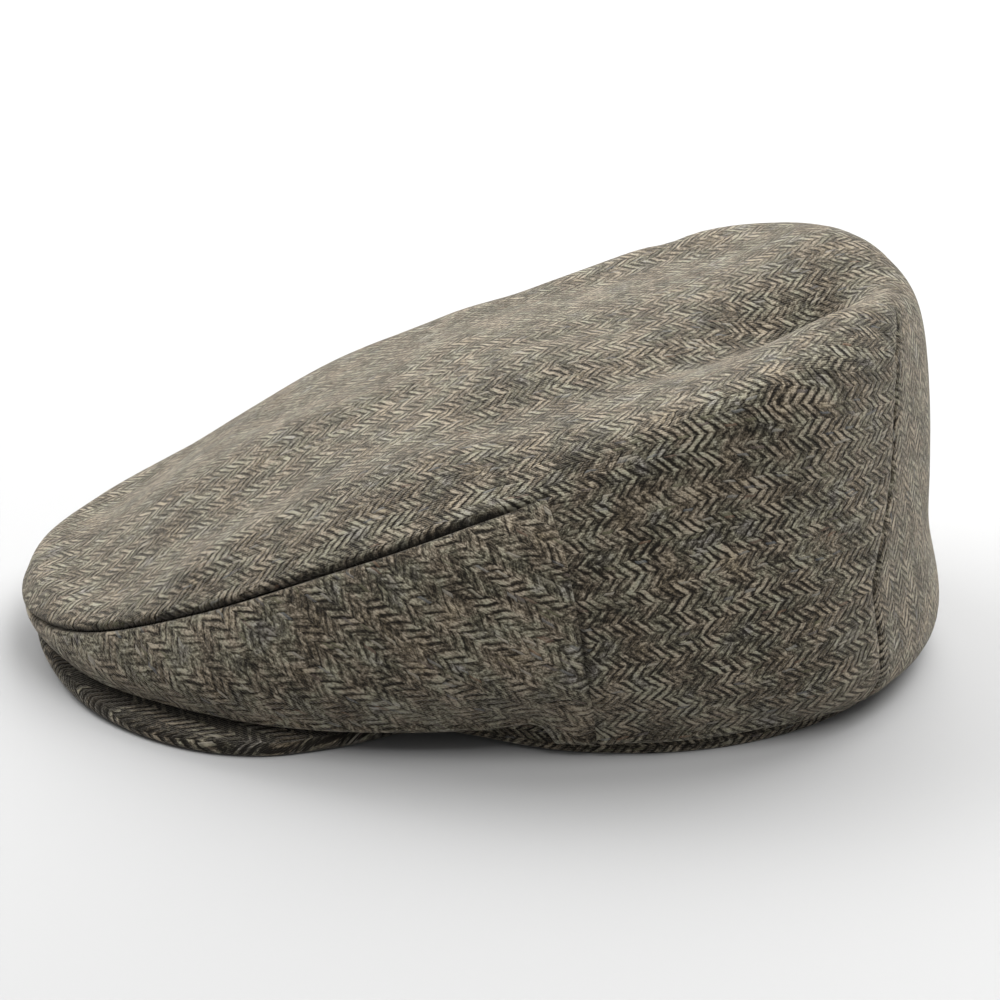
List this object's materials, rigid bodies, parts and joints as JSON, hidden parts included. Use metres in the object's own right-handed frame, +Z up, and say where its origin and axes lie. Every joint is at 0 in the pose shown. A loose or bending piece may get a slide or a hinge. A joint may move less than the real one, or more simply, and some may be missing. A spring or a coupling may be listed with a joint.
{
  "type": "flat cap",
  "caption": "Flat cap in wool herringbone tweed with a one-piece sloping crown, side panels let into the front and a short stiff peak, worn on the head.",
  "frame": {"origin": "centre of the cap's outline in plan, on the surface it rests on", "axes": "+Z up, -Y to the front where the peak points, +X to the wearer's left"},
  "size_m": [0.1972, 0.279, 0.1181],
  "materials": {
    "tweed": "matt wool herringbone in grey brown with olive, tan and blue grey flecks"
  },
  "bodies": {
    "root": {"crown": "tweed", "side_panel_left": "tweed", "side_panel_right": "tweed", "peak": "tweed", "head_band": "tweed"}
  },
  "joints": []
}
